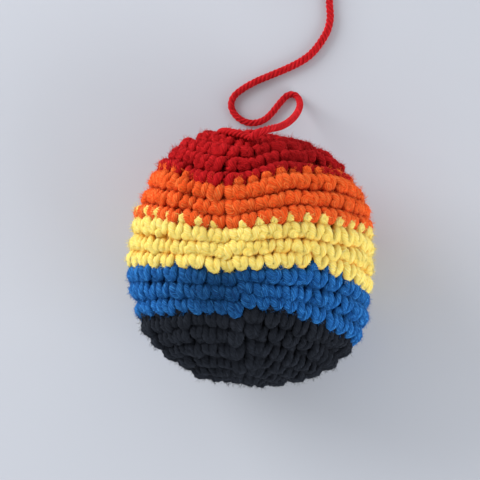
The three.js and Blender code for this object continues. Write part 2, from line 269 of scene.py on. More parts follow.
@dataclass
class Surface:
    """A closed mesh in millimetres, with its faces outward.

    Each vertex has its place along and around the yarn, and its relief: 1 on a crest of the
    cloth and 0 deep in its hollows, where the colour is mixed towards a painted shade.
    """

    points: Array
    corners: Array
    face_sizes: Array
    strand: Array
    relief: Array

    @classmethod
    def joined(cls, parts: list[Surface]) -> Surface:
        """Puts several surfaces into one.

        Args:
            parts: the surfaces, each closed by itself.

        Returns:
            One surface that holds them all.
        """
        starts = np.cumsum([0] + [len(part.points) for part in parts[:-1]])
        rows = [
            (part.points, part.corners + start, part.face_sizes, part.strand, part.relief)
            for part, start in zip(parts, starts)
        ]
        return cls(*(np.concatenate(column) for column in zip(*rows)))

    def to_object(self, name: str, material: Material) -> Object:
        """Makes the Blender object, at the origin and in metres, with smooth faces.

        Args:
            name: the object's name.
            material: its finish.

        Returns:
            The new object, linked to the scene.
        """
        mesh = bpy.data.meshes.new(name)
        starts = np.cumsum(self.face_sizes) - self.face_sizes
        mesh.vertices.add(len(self.points))
        mesh.vertices.foreach_set("co", (self.points * METRES).astype(np.float32).ravel())
        mesh.loops.add(len(self.corners))
        mesh.loops.foreach_set("vertex_index", self.corners.astype(np.int32))
        mesh.polygons.add(len(self.face_sizes))
        mesh.polygons.foreach_set("loop_start", starts.astype(np.int32))
        mesh.polygons.foreach_set("use_smooth", np.ones(len(self.face_sizes), dtype=bool))
        mesh.update(calc_edges=True)
        mesh.validate()
        place = mesh.attributes.new("strand", "FLOAT_VECTOR", "POINT")
        place.data.foreach_set("vector", self.strand.astype(np.float32).ravel())
        # relief: the share of the yarn's own colour; the rest is the painted shade of the hollows
        relief = mesh.attributes.new("relief", "FLOAT", "POINT")
        relief.data.foreach_set("value", self.relief.astype(np.float32))
        mesh.materials.append(material)
        made = bpy.data.objects.new(name, mesh)
        bpy.context.scene.collection.objects.link(made)
        return made


def grid_faces(rows: int, columns: int, closed: bool, turned: bool) -> tuple[Array, Array]:
    """Quads between rings of points, and on an open grid a fan of triangles at each end.

    Args:
        rows: the number of rings.
        columns: the number of points in a ring.
        closed: whether the last ring is joined to the first. If it isn't, the middles of the fans
            are the two points that follow the grid's.
        turned: whether each face's corners run backwards.

    Returns:
        The corners of the faces, and the number of corners of each.
    """
    ring = np.arange(columns)
    beside = (ring + 1) % columns
    row = columns * np.arange(rows if closed else rows - 1)[:, None]
    below = (row + columns) % (rows * columns)
    quads = np.stack([row + ring, row + beside, below + beside, below + ring], axis=-1)
    faces = [quads.reshape(-1, 4)]
    if not closed:
        last = columns * (rows - 1)
        middle = np.full(columns, last + columns)
        faces.append(np.stack([beside, ring, middle], axis=-1))
        faces.append(np.stack([last + ring, last + beside, middle + 1], axis=-1))
    corners = [np.ravel(some[:, ::-1] if turned else some) for some in faces]
    sizes = [np.full(len(some), some.shape[1]) for some in faces]
    return np.concatenate(corners), np.concatenate(sizes)


@dataclass(frozen=True)
class Yarn:
    """Cotton yarn: plies that wind about each other, a little flattened where it is pulled."""

    width: float = 2.3
    thickness: float = 1.9
    plies: int = 9
    ply_points: int = 2
    ply_depth: float = 0.18
    # painted shade in the grooves between the plies: how far the relief falls there
    ply_shade: float = 0.38
    twist_length: float = 5.0
    fray: float = 0.55

    def sweep(
        self, path: Array, guide: Array, girth: Array | float = 1.0, closed: bool = False
    ) -> Surface:
        """Carries the yarn's section along a path.

        The section is an ellipse whose radius drops in a groove between two plies, by the ply
        depth times (1 - |sin|) of the place on the ply. It turns once in each twist length.

        Args:
            path: the yarn's middle line, one point a row.
            guide: the direction of the yarn's thickness, at each point or all along.
            girth: the yarn's local size, as a share of its full size.
            closed: whether the path closes on itself.

        Returns:
            A closed surface, with rounded ends on an open path.
        """
        girth = np.broadcast_to(girth, len(path))
        ahead = np.roll(path, -1, axis=0) - np.roll(path, 1, axis=0)
        if not closed:
            ahead[0] = path[1] - path[0]
            ahead[-1] = path[-1] - path[-2]
        ahead = unit(ahead)
        aside = unit(np.cross(ahead, guide))
        above = np.cross(aside, ahead)
        along = distance_along(path)
        turns = along / self.twist_length
        if closed:
            whole = along[-1] + np.linalg.norm(path[0] - path[-1])
            turns = along / whole * max(1, round(whole / self.twist_length))
        count = self.plies * self.ply_points
        around = CIRCLE * np.arange(count) / count
        groove = 1.0 - np.abs(np.sin(self.plies * around / 2.0))
        angle = around + CIRCLE * turns[:, None]
        size = girth[:, None] * (1.0 - self.ply_depth * groove)
        wide = (size * np.cos(angle) * self.width / 2.0)[..., None]
        thick = (size * np.sin(angle) * self.thickness / 2.0)[..., None]
        points = path[:, None, :] + wide * aside[:, None, :] + thick * above[:, None, :]
        places = (np.cos(around) * self.width / 2.0, np.sin(around) * self.width / 2.0, along[:, None])
        strand = np.stack(np.broadcast_arrays(*places), axis=-1).reshape(-1, 3)
        points = points.reshape(-1, 3)
        # painted shade: the relief falls in the grooves between the plies
        relief = np.tile(1.0 - self.ply_shade * groove, len(path))
        if not closed:
            reach = self.fray * self.thickness / 2.0 * girth[[0, -1], None]
            tips = path[[0, -1]] + reach * ahead[[0, -1]] * np.array([[-1.0], [1.0]])
            points = np.concatenate([points, tips])
            strand = np.concatenate([strand, [[0.0, 0.0, 0.0], [0.0, 0.0, along[-1]]]])
            relief = np.concatenate([relief, [1.0, 1.0]])
        corners, sizes = grid_faces(len(path), count, closed, turned=True)
        return Surface(points, corners, sizes, strand, relief)


LOOSE_YARN = Yarn(1.9, 1.9, plies=4, ply_points=4, ply_depth=0.28, ply_shade=0.55)


@dataclass(frozen=True)
class Fuzz:
    """Loose fibres that stand up from the yarn, each a thin bent spindle of three sides."""

    shortest: float = 0.4
    longest: float = 1.9
    radius: float = 0.037
    root_depth: float = 0.15
    knee: float = 0.45
    sides: int = 3
    tilt: float = 1.2
    lean: float = 0.9
    bend: float = 0.5
    askew: float = 0.1

    def grow(
        self, path: Array, outward: Array, reach: float, count: int, random: np.random.Generator
    ) -> Surface:
        """Grows fibres from a strand, on the side of it that faces away from the ball.

        Each leaves the strand between straight out and along it, and bends at its knee, where it
        is thickest. Few are long: the length grows with the square of an even random number. The
        section is set square to a sideways line a little askew, which no fibre follows. A fibre
        that would reach into the ground is lifted onto it.

        Args:
            path: the strand's middle line, one point a row.
            outward: the ball's outward direction at each point of the path.
            reach: the distance of the strand's surface from its middle line.
            count: the number of fibres.
            random: the source of the fibres' places and shapes.

        Returns:
            All the fibres as one surface.
        """
        where = random.integers(1, len(path) - 1, count)
        ahead = unit(path[where + 1] - path[where - 1])
        aside = unit(np.cross(ahead, outward[where]))
        tilt = random.uniform(-self.tilt, self.tilt, (count, 1))
        radial = np.cos(tilt) * outward[where] + np.sin(tilt) * aside
        direction = unit(radial + random.normal(0.0, self.lean, (count, 1)) * ahead)
        bend = random.normal(0.0, self.bend, (count, 3))
        spread = self.longest - self.shortest
        length = self.shortest + spread * random.uniform(0.0, 1.0, (count, 1)) ** 2
        root = path[where] + radial * (reach - self.root_depth)
        knee = root + self.knee * length * direction
        tip = knee + (1.0 - self.knee) * length * unit(direction + bend)
        first = unit(np.cross(direction, aside + self.askew * ahead))
        second = np.cross(direction, first)
        angle = (CIRCLE * np.arange(self.sides) / self.sides)[:, None]
        ring = self.radius * (np.cos(angle) * first[:, None, :] + np.sin(angle) * second[:, None, :])
        points = np.concatenate([root[:, None, :], knee[:, None, :] + ring, tip[:, None, :]], axis=1)
        points[..., 2] -= np.minimum(points[..., 2].min(axis=1, keepdims=True), 0.0)
        turn = 1 + np.arange(self.sides)
        beside = 1 + turn % self.sides
        last = np.full_like(turn, self.sides + 1)
        root_fan = np.stack([np.zeros_like(turn), beside, turn], axis=-1)
        tip_fan = np.stack([last, turn, beside], axis=-1)
        fans = np.concatenate([root_fan.ravel(), tip_fan.ravel()])
        corners = ((self.sides + 2) * np.arange(count)[:, None] + fans).ravel()
        flat = points.reshape(-1, 3)
        sizes = np.full(2 * self.sides * count, 3)
        return Surface(flat, corners, sizes, flat.copy(), np.ones(len(flat)))


def smooth_route(points: Array, spacing: float, cuts: int = 32) -> Array:
    """A centripetal Catmull-Rom curve through points, cut into even steps.

    Each stretch is a cubic between two points, whose slopes come from the points before and after
    and from the square roots of the distances between them.

    Args:
        points: the route's points, one a row.
        spacing: the length of a step along the curve.
        cuts: the pieces that each stretch is cut into to measure the curve.

    Returns:
        The curve's points, one a row.
    """
    padded = np.concatenate([[2 * points[0] - points[1]], points, [2 * points[-1] - points[-2]]])
    before, start, end, after = padded[:-3], padded[1:-2], padded[2:-1], padded[3:]
    root = np.sqrt(np.linalg.norm(np.diff(padded, axis=0), axis=1))[:, None]
    lead, span, trail = root[:-2], root[1:-1], root[2:]
    inward = (start - before) / lead - (end - before) / (lead + span) + (end - start) / span
    outward = (end - start) / span - (after - start) / (span + trail) + (after - end) / trail
    slope_in, slope_out, run = (v[:, None, :] for v in (inward * span, outward * span, end - start))
    share = np.linspace(0.0, 1.0, cuts, endpoint=False)[None, :, None]
    curve = (
        start[:, None, :]
        + slope_in * share
        + (3.0 * run - 2.0 * slope_in - slope_out) * share**2
        + (slope_in + slope_out - 2.0 * run) * share**3
    )
    dense = np.concatenate([curve.reshape(-1, 3), points[-1:]])
    along = distance_along(dense)
    places = np.linspace(0.0, along[-1], round(along[-1] / spacing) + 1)
    return np.stack([np.interp(places, along, dense[:, axis]) for axis in range(3)], axis=-1)


class Nodes:
    """The nodes of a material or a world, between its coordinates and its shader."""

    def __init__(self, owner: ID, shader: str = "Principled BSDF") -> None:
        """Turns the owner's nodes on.

        Args:
            owner: the material or world.
            shader: the name of the node that the others lead to.
        """
        owner.use_nodes = True
        self.tree = owner.node_tree
        self.shader = self.tree.nodes[shader]

    def fill(self, node: Node, inputs: dict) -> None:
        """Sets a node's inputs.

        Args:
            node: the node.
            inputs: a constant or another node's output for each input, by its name or number.
        """
        for name, value in inputs.items():
            if isinstance(value, NodeSocket):
                self.tree.links.new(value, node.inputs[name])
            else:
                node.inputs[name].default_value = value

    def add(self, kind: str, output: str, inputs: dict | None = None, **settings: str) -> NodeSocket:
        """Adds a node.

        Args:
            kind: the end of its type's name, after ShaderNode.
            output: the name of the output that is used.
            inputs: its inputs, as fill takes them.
            **settings: its own settings.

        Returns:
            The output.
        """
        node = self.tree.nodes.new(f"ShaderNode{kind}")
        for name, value in settings.items():
            setattr(node, name, value)
        self.fill(node, inputs or {})
        return node.outputs[output]

    def ramp(self, value: NodeSocket, *stops: tuple[float, Triple]) -> NodeSocket:
        """Adds a colour ramp.

        Args:
            value: what runs along it.
            *stops: a place and a colour for its first stop, its last one, and any between them.

        Returns:
            Its colour.
        """
        colour = self.add("ValToRGB", "Color", {"Fac": value})
        elements = colour.node.color_ramp.elements
        for step, (place, shade) in enumerate(stops):
            element = elements[step] if step < 2 else elements.new(place)
            element.position = place
            element.color = (*shade, 1.0)
        return colour


@dataclass(frozen=True)
class YarnFinish:
    """Matte plied cotton: fibres as fine streaks along the plies, and patches of uneven dye.

    The colour runs from a shade to a glint in the streaks, and to a painted shade in the hollows.
    One wide round patch is painted darker, a painted shade, whose level is the share of the colour
    left there.
    Lengths here are metres, as a piece's own coordinates are.
    """

    slot: str
    colour: Triple
    shade: Triple
    glint: Triple
    # the painted shade colour, shown where the relief is low
    hollow: Triple
    roughness: float = 0.9
    sheen: float = 0.35
    sheen_roughness: float = 0.5
    specular: float = 0.12
    streak_stretch: Triple = (3.2, 3.2, 0.55)
    streak_scale: float = 1.6
    streak_detail: float = 4.0
    streak_roughness: float = 0.62
    streak_stops: Triple = (0.37, 0.52, 0.66)
    fibre_depth: float = 0.00016
    fibre_strength: float = 0.9
    dye_scale: float = 260.0
    dye_detail: float = 2.0
    dye_levels: Pair = (0.84, 1.14)
    # painted shade: one wide round patch, darker by its level, at a place in the piece's own space
    painted_shade_place: Triple = (0.0, 0.0, 0.044)
    painted_shade_reach: float = 0.02
    painted_shade_level: float = 1.0
    name: str = ""

    def material(self) -> Material:
        """Makes the node material, whose streaks follow the strand attribute.

        Returns:
            The material, named after its slot where it has no name of its own.
        """
        made = bpy.data.materials.new(self.name or self.slot)
        nodes = Nodes(made)
        strand = nodes.add("Attribute", "Vector", attribute_name="strand")
        grain = {
            "Vector": nodes.add("Mapping", "Vector", {"Vector": strand, "Scale": self.streak_stretch}),
            "Scale": self.streak_scale,
            "Detail": self.streak_detail,
            "Roughness": self.streak_roughness,
        }
        fibres = nodes.add("TexNoise", "Fac", grain)
        low, middle, high = self.streak_stops
        streaks = nodes.ramp(fibres, (low, self.shade), (high, self.glint), (middle, self.colour))
        where = nodes.add("TexCoord", "Object")
        blotches = {"Vector": where, "Scale": self.dye_scale, "Detail": self.dye_detail}
        patches = nodes.add("TexNoise", "Fac", blotches)
        levels = {"Value": patches, "To Min": self.dye_levels[0], "To Max": self.dye_levels[1]}
        level = nodes.add("MapRange", "Result", levels)
        # painted shade: the colour falls to the patch level at its place and is full again past its
        # reach
        away = nodes.add("VectorMath", "Value", {0: where, 1: self.painted_shade_place}, operation="DISTANCE")
        patch = {"Value": away, "From Max": self.painted_shade_reach, "To Min": self.painted_shade_level}
        wide = nodes.add("MapRange", "Result", patch, interpolation_type="SMOOTHSTEP")
        uneven = nodes.add("Math", "Value", {0: level, 1: wide}, operation="MULTIPLY")
        # painted shade: the tone runs from the hollow colour at no relief to the streaks at full
        # relief
        relief = nodes.add("Attribute", "Fac", attribute_name="relief")
        tones = {"Factor": relief, "A": (*self.hollow, 1.0), "B": streaks}
        tone = nodes.add("Mix", "Result", tones, data_type="RGBA")
        # the base colour: the tone times the random dye level and the painted shade patch
        dye_and_painted_shade = nodes.add("VectorMath", "Vector", {0: tone, "Scale": uneven}, operation="SCALE")
        height = {"Strength": self.fibre_strength, "Distance": self.fibre_depth, "Height": fibres}
        finish = {
            "Base Color": dye_and_painted_shade,
            "Normal": nodes.add("Bump", "Normal", height),
            "Roughness": self.roughness,
            "Specular IOR Level": self.specular,
            "Sheen Weight": self.sheen,
            "Sheen Roughness": self.sheen_roughness,
            "Sheen Tint": (*self.glint, 1.0),
        }
        nodes.fill(nodes.shader, finish)
        return made


class YarnColour(Enum):
    """The five yarns of the ball, from the black pole to the red one."""

    BLACK = YarnFinish(
        "black_yarn",
        colour=(0.0127, 0.0156, 0.0225),
        shade=(0.0088, 0.0108, 0.0158),
        glint=(0.029, 0.035, 0.048),
        hollow=(0.0056, 0.0064, 0.0095),
    )
    BLUE = YarnFinish(
        "blue_yarn",
        colour=(0.0128, 0.147, 0.49),
        shade=(0.0046, 0.048, 0.2),
        glint=(0.078, 0.4, 0.94),
        hollow=(0.003, 0.014, 0.055),
        # painted shade: a darker patch on the top of the blue band
        painted_shade_place=(-0.004, -0.008, 0.044),
        painted_shade_level=0.39,
    )
    YELLOW = YarnFinish(
        "yellow_yarn",
        colour=(1.0, 0.87, 0.225),
        shade=(1.0, 0.73, 0.14),
        glint=(1.0, 0.95, 0.44),
        hollow=(1.0, 0.48, 0.032),
    )
    ORANGE = YarnFinish(
        "orange_yarn",
        colour=(1.0, 0.14, 0.018),
        shade=(0.95, 0.072, 0.0075),
        glint=(1.0, 0.32, 0.086),
        hollow=(0.42, 0.01, 0.002),
        # painted shade: a slightly darker patch on the top of the orange band
        painted_shade_place=(-0.002, 0.01, 0.044),
        painted_shade_level=0.92,
    )
    RED = YarnFinish(
        "red_yarn",
        colour=(0.53, 0.0065, 0.0093),
        shade=(0.34, 0.003, 0.0055),
        glint=(0.8, 0.02, 0.024),
        hollow=(0.22, 0.002, 0.003),
        # painted shade: a darker patch on the upper side of the red crown
        painted_shade_place=(0.012, 0.024, 0.036),
        painted_shade_level=0.72,
    )


# painted light: the loose end is the same red yarn, with a lighter copy of its finish and no painted
# shade patch
RED_PAINTED_LIGHTER = replace(
    YarnColour.RED.value,
    name="red_yarn_painted_lighter",
    colour=(0.6, 0.0095, 0.0145),
    shade=(0.36, 0.004, 0.0078),
    glint=(0.84, 0.03, 0.038),
    painted_shade_level=1.0,
)


@dataclass(frozen=True)
class StitchLay:
    """How the strand lies in a stitch: down one leg to the foot, and up the other to an arch.

    Its depth below the ball's surface has four levels: at the foot, at the full belly of the
    legs, at their neck below the next round's feet, and at the arch. The two feet of a doubled
    stitch are moved from one foot phase beside its middle to where they stand. The colour's ends
    sink over one end part of a stitch.
    """

    samples: int = 24
    fibres: int = 108
    foot_reach: float = 0.08
    foot_phase: float = 0.25
    arch_rise: float = 0.08
    drift: float = 0.24
    drift_centre: float = 11.5
    depths: tuple[float, float, float, float] = (1.15, 0.8, 1.8, 0.5)
    levels: tuple[float, float, float, float] = (0.0, 0.3, 0.76, 1.0)
    last_neck: float = 1.8
    leg_steepness: float = 0.2
    arch_pinch: float = 0.08
    last_pinch: float = 0.08
    joined_arch: float = 0.42
    parent_share: float = 0.6
    rest_height: float = 1.0
    rest_share: float = 0.6
    turn_jitter: float = 0.08
    height_jitter: float = 0.06
    depth_jitter: float = 0.18
    girth_jitter: float = 0.09
    arch_jitter: float = 0.35
    wander: float = 0.05
    wander_waves: int = 5
    seam_blend: float = 0.22
    seam_swell: float = 0.14
    seam_reach: float = 1.2
    seam_rise: float = 0.4
    climb_reach: float = 0.3
    climb_depth: float = 1.0
    end_depth: float = 0.9
    end_part: float = 3.0
    # painted shade: the relief is full above the crest depth and gone at the hollow depth below the
    # surface
    crest: float = 0.3
    hollow: float = 2.3

    def depth_at(self, climb: Array, last: bool) -> Array:
        """The strand's depth at a height in its stitch: a smooth step from level to level.

        Args:
            climb: heights in the stitch, from 0 at the foot to 1 at the arch.
            last: whether it is the colour's last round, whose necks have a depth of their own.

        Returns:
            One depth for each height.
        """
        foot, belly, neck, arch = self.depths
        depths = (foot, belly, self.last_neck if last else neck, arch)
        depth = np.full(climb.shape, foot)
        for step in range(len(self.levels) - 1):
            rise = smooth_step(climb, self.levels[step], self.levels[step + 1])
            depth = depth + (depths[step + 1] - depths[step]) * rise
        return depth


class BandLay(Enum):
    """How each colour's stitches lie.

    The arches of the black and the blue hide behind the next colour's feet, while those of the
    yellow and the orange stand out between them, pinched in their last round. The black has the
    most stitches, and so the fewest points and fibres in each.
    """

    BLACK = StitchLay(
        samples=20, fibres=70, arch_rise=0.05, depths=(1.4, 0.65, 2.0, 1.25), depth_jitter=0.28
    )
    BLUE = StitchLay(arch_rise=0.05, arch_pinch=0.2, depths=(1.3, 0.7, 2.0, 1.25))
    YELLOW = StitchLay(
        arch_pinch=0.26, last_pinch=0.45, depths=(1.25, 0.7, 1.95, 0.5), last_neck=1.65, hollow=1.4
    )
    ORANGE = StitchLay(
        leg_steepness=0.0, last_pinch=0.3, depths=(1.4, 0.65, 2.1, 0.6), last_neck=1.4, hollow=1.5
    )
    RED = StitchLay(leg_steepness=0.0, depths=(1.4, 0.65, 2.1, 0.5))


@dataclass(frozen=True)
class LaidStrand:
    """A piece of yarn that comes up out of the fabric and lies on it."""

    places: tuple[Triple, ...]
    yarn: Yarn = LOOSE_YARN
    spacing: float = 0.45

    def surface(self, shape: BallShape) -> Surface:
        """Sweeps the yarn along a smooth curve through its places on the ball.

        Args:
            shape: the ball that it lies on.

        Returns:
            A closed surface.
        """
        rounds, turns, depth = np.array(self.places).T
        points, normals = shape.at(rounds, turns, depth, 0.0)
        return self.yarn.sweep(smooth_route(points, self.spacing), np.mean(normals, axis=0))


@dataclass
class Piece:
    """A piece of the ball, which stands for one or more solids."""

    name: str
    nodes: tuple[str, ...]
    slot: str
    shape: BallShape

    def surface(self) -> Surface:
        """Its closed mesh, which each kind of piece makes in its own way."""
        raise NotImplementedError

    def build(self, material: Material) -> Object:
        """Makes the piece and puts it in the place of its solids, on the ball's one body.

        Args:
            material: its finish.

        Returns:
            The finished piece.
        """
        made = self.surface().to_object(self.name, material)
        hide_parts(*self.nodes)
        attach(made, BODY)
        triangles = sum(len(polygon.vertices) - 2 for polygon in made.data.polygons)
        LOG.info("%s: %d triangles", made.name, triangles)
        return made


@dataclass
class CrochetBand(Piece):
    """One colour of the crocheted fabric, from its first round to before its last."""

    first: int
    last: int
    yarn: Yarn = Yarn()
    lay: StitchLay = StitchLay()
    fuzz: Fuzz = Fuzz()
    lumps: Lumps = Lumps()
    laid: tuple[LaidStrand, ...] = ()
    backing_depth: float = 2.35
    backing_relief: float = 0.4
    backing_columns: int = 96
    backing_steps: int = 2
    backing_inset: float = 0.03

    def foot_place(self, number: int) -> tuple[Array, Array, Array]:
        """Where the feet of a round stand, and the middles of its own stitches.

        A foot stands in a stitch of the round before. In each of the six sectors of a growing
        round the last two stitches share one, and in a shrinking round the last has two.

        Args:
            number: the round.

        Returns:
            The feet and the stitches' middles, in turns along the work, and half the distance
            between the two feet of a stitch that has two.
        """
        count = self.shape.stitches_in(number)
        sectors = self.shape.step_stitches
        per_sector = count // sectors
        sector, child = np.divmod(np.arange(count), per_sector)
        own = (sector + (child + 0.5) / per_sector) / sectors
        before = self.shape.stitches_in(number - 1) if number > 0 else count
        parents = before // sectors
        stand = np.minimum(child, parents - 1) + 0.5
        double = (parents > per_sector) & (child == per_sector - 1)
        stand = np.where(double, float(per_sector), stand)
        return (sector + stand / parents) / sectors, own, np.where(double, 0.5 / before, 0.0)

    def stitch_run(self, number: int, phase: Array, apart: Array) -> tuple[Array, Array]:
        """The strand's height in its stitches, and its shift along the round.

        The height follows a cosine from an arch to the foot and back. The shift holds the strand
        back in the legs by the sine of the double phase, and at the arch by that of the phase. A
        stitch with two feet has a low arch between them instead: cosine squared of the phase,
        sunk in its middle by the sine of half the phase to the fourth power.

        Args:
            number: the round.
            phase: places in a stitch, from 0 at one arch to 1 at the next.
            apart: half the distance between each stitch's two feet, in stitches, or 0.

        Returns:
            The heights, from 0 at a foot to 1 at an arch, and the shifts, in stitches.
        """
        lay = self.lay
        wave = np.sin(CIRCLE * phase)
        single = 0.5 + 0.5 * np.cos(CIRCLE * phase)
        sunken = 1.0 - (1.0 - lay.joined_arch) * np.sin(math.pi * phase) ** 4
        joined = np.cos(CIRCLE * phase) ** 2 * sunken
        pinch = lay.last_pinch if number == self.last - 1 else lay.arch_pinch
        held = lay.leg_steepness * np.sin(2.0 * CIRCLE * phase) / (2.0 * CIRCLE)
        held = held - pinch * wave / CIRCLE
        spread = (apart - lay.foot_phase) * -wave
        return np.where(apart > 0.0, joined, single), np.where(apart > 0.0, spread, held)

    def seam_step(self, number: int, place: Array) -> Array:
        """How far the strand has climbed to the round before or after, by smooth steps at the seam.

        Args:
            number: the round.
            place: places along the round, in stitches.

        Returns:
            The climb in rounds, up to half of what parts two rounds where they meet.
        """
        count = self.shape.stitches_in(number)
        sunk = self.shape.sink(np.full(2, number + 1.0), np.array([0.0, 1.0]))
        begun = smooth_step(place, 0.0, self.lay.seam_blend) - 1.0
        ending = smooth_step(place, count - self.lay.seam_blend, float(count))
        return (1.0 + sunk[0] - sunk[1]) / 2.0 * (begun + ending)

    def strand_places(self, number: int, random: np.random.Generator) -> tuple[Array, ...]:
        """The strand's places through one round, in the order of the work.

        A round wanders up and down in a sum of sines, and starts a quarter of a stitch further on
        than the one before, so that the stitches lean. Arches sink unevenly, with the fourth
        power of the height, by random numbers of their own. Beside the seam the strand is thicker
        and lies higher, and at the seam it dives behind the fabric.

        Args:
            number: the round.
            random: the source of the small differences between stitches.

        Returns:
            Rounds, turns, depths and girths, one for each point of the strand.
        """
        lay = self.lay
        shape = self.shape
        count = shape.stitches_in(number)
        feet, own, apart = self.foot_place(number)
        phase = np.arange(lay.samples) / lay.samples
        place = np.arange(count)[:, None] + phase
        swing, shift = self.stitch_run(number, phase, apart[:, None] * count)
        lean = lay.parent_share * ((feet - own) * count - lay.drift)
        lean = (lean + random.normal(0.0, lay.turn_jitter, count))[:, None]
        turns = 1.0 - (place + shift + lean * (1.0 - swing)) / count
        waves = np.arange(1, lay.wander_waves + 1)[:, None, None]
        swell, start = random.normal(0.0, 1.0, (2, lay.wander_waves, 1, 1))
        wander = lay.wander * np.sum(swell * np.sin(CIRCLE * (waves * turns + start)), axis=0)
        low = -lay.foot_reach + random.normal(0.0, lay.height_jitter, count)[:, None]
        high = 1.0 + lay.arch_rise
        if number == shape.rounds - 1:
            high = 1.0 - shape.pole_start + lay.arch_rise
        if number == 0:
            low = shape.pole_start - lay.foot_reach
        climb = low + (high - low) * swing
        from_pole = np.minimum(number + climb, shape.rounds - number - climb)
        rounds = number + climb + wander * smooth_step(from_pole, 0.0, shape.dip_growth)
        rounds = rounds - shape.sink(rounds, np.clip(turns, 0.0, 1.0)) + self.seam_step(number, place)
        turns = turns - lay.drift * (number - lay.drift_centre) / shape.full_stitches
        depth = lay.depth_at(swing, number == self.last - 1)
        depth = depth + random.normal(0.0, lay.depth_jitter, count)[:, None] * (1.0 - swing)
        uneven = np.random.default_rng([SEED, number])
        sunk_arch = lay.arch_jitter * np.abs(uneven.normal(0.0, 1.0, count + 1))[:, None]
        depth = depth + swing**4 * np.where(phase < 0.5, sunk_arch[:-1], sunk_arch[1:])
        girth = 1.0 + random.normal(0.0, lay.girth_jitter, count)[:, None] * np.sin(math.pi * phase)
        from_seam = np.minimum(place, count - place)
        at_seam = 1.0 - smooth_step(from_seam, 0.0, lay.seam_reach)
        girth = girth + lay.seam_swell * at_seam
        depth = depth + lay.seam_rise * at_seam * (min(lay.depths) - depth)
        depth = depth + lay.climb_depth * (1.0 - smooth_step(from_seam, 0.0, lay.climb_reach))
        return tuple(np.ravel(v) for v in np.broadcast_arrays(rounds, turns, depth, girth))

    def lumpy(self, rounds: Array, turns: Array, depth: Array) -> tuple[Array, Array]:
        """Points at a depth in the fabric, moved out or in by the lumps.

        Each stays above the ground by the rest height and a share of its depth in the fabric.

        Args:
            rounds: places in rounds from the black pole.
            turns: places in turns from the seam.
            depth: how far below the ball's surface each point lies.

        Returns:
            The points and the outward normals of the surface above them.
        """
        floor = self.lay.rest_height + self.lay.rest_share * (depth - min(self.lay.depths))
        points, normals = self.shape.at(rounds, turns, depth, floor)
        points = points + self.lumps.at(points)[..., None] * normals
        points[..., 2] = np.maximum(points[..., 2], floor)
        return points, normals

    def stitches(self) -> Surface:
        """Lays the colour's one strand through all its rounds, with its loose fibres.

        The strand's relief falls by a smooth step with each vertex's depth below the ball's
        surface, so that the deeper yarn is painted in shade. Nothing sinks below the ground: what
        would is pressed flat there.

        Returns:
            The strand and the fibres, each closed.
        """
        lay = self.lay
        random = np.random.default_rng(SEED + self.first)
        parts = [self.strand_places(number, random) for number in range(self.first, self.last)]
        rounds, turns, depth, girth = (np.concatenate(column) for column in zip(*parts))
        top = self.shape.rounds - self.shape.pole_start + lay.arch_rise
        rounds = np.clip(rounds, self.shape.pole_start - lay.foot_reach, top)
        place = np.arange(len(depth))
        from_end = np.minimum(place, place[::-1])
        edge = 1.0 - smooth_step(from_end, 0.0, lay.samples / lay.end_part)
        depth = depth + lay.end_depth * edge
        path, normals = self.lumpy(rounds, turns, depth)
        strand = self.yarn.sweep(path, normals, girth)
        # painted shade: the deeper a vertex lies below the ball's surface, the lower its relief
        body = strand.points[:-2].reshape(len(path), -1, 3)
        above = np.sum((body - path[:, None, :]) * normals[:, None, :], axis=-1)
        below = smooth_step(depth[:, None] - above, lay.crest, lay.hollow)
        strand.relief[:-2] *= 1.0 - below.ravel()
        count = lay.fibres * (len(path) // lay.samples)
        fibres = self.fuzz.grow(path, normals, self.yarn.thickness / 2.0, count, random)
        cloth = Surface.joined([strand, fibres])
        cloth.points[:, 2] = np.maximum(cloth.points[:, 2], 0.0)
        return cloth

    def backing(self) -> Surface:
        """The fabric's closed inner side, which is seen only as the dark of its holes.

        Its outer rings run from the first round to the last, and its inner rings run back.

        Returns:
            A closed ring-shaped shell.
        """
        pole = self.shape.pole_start
        low = max(float(self.first), pole)
        high = min(float(self.last), self.shape.rounds - pole)
        count = round((high - low) * self.backing_steps) + 1
        outward = np.linspace(low + self.backing_inset, high - self.backing_inset, count)
        rounds = np.concatenate([outward, outward[::-1]])
        turns = np.arange(self.backing_columns) / self.backing_columns
        rounds, turns = np.meshgrid(rounds, turns, indexing="ij")
        depth = np.repeat([self.backing_depth, self.shape.fabric], count)
        depth = np.broadcast_to(depth[:, None], rounds.shape)
        points, _ = self.lumpy(rounds - self.shape.sink(rounds, turns), turns, depth)
        corners, sizes = grid_faces(len(points), self.backing_columns, closed=True, turned=False)
        flat = points.reshape(-1, 3)
        # painted shade: the inner side shows mostly the hollow colour
        relief = np.full(len(flat), self.backing_relief)
        return Surface(flat, corners, sizes, flat.copy(), relief)

    def surface(self) -> Surface:
        """The stitches, the fabric's inner side, and the yarn that lies on it."""
        laid = [strand.surface(self.shape) for strand in self.laid]
        return Surface.joined([self.stitches(), self.backing(), *laid])


@dataclass
class PoleRing(Piece):
    """The yarn drawn into a ring at a pole, in the fabric's small hole."""

    rounds: float
    yarn: Yarn = Yarn(width=1.6, thickness=1.6)
    radius: float = 1.15
    depth: float = 1.5
    steps: int = 36

    def surface(self) -> Surface:
        """Sweeps the yarn round a circle square to the ball's surface at the pole.

        Returns:
            The ring.
        """
        place = np.array([self.rounds])
        centre, normal = self.shape.at(place, np.zeros(1), np.array([self.depth]), 0.0)
        side = unit(np.cross(normal, [[1.0, 0.0, 0.0]]))
        other = np.cross(normal, side)
        angle = CIRCLE * np.arange(self.steps)[:, None] / self.steps
        path = centre + self.radius * (np.cos(angle) * side + np.sin(angle) * other)
        return self.yarn.sweep(path, normal, closed=True)


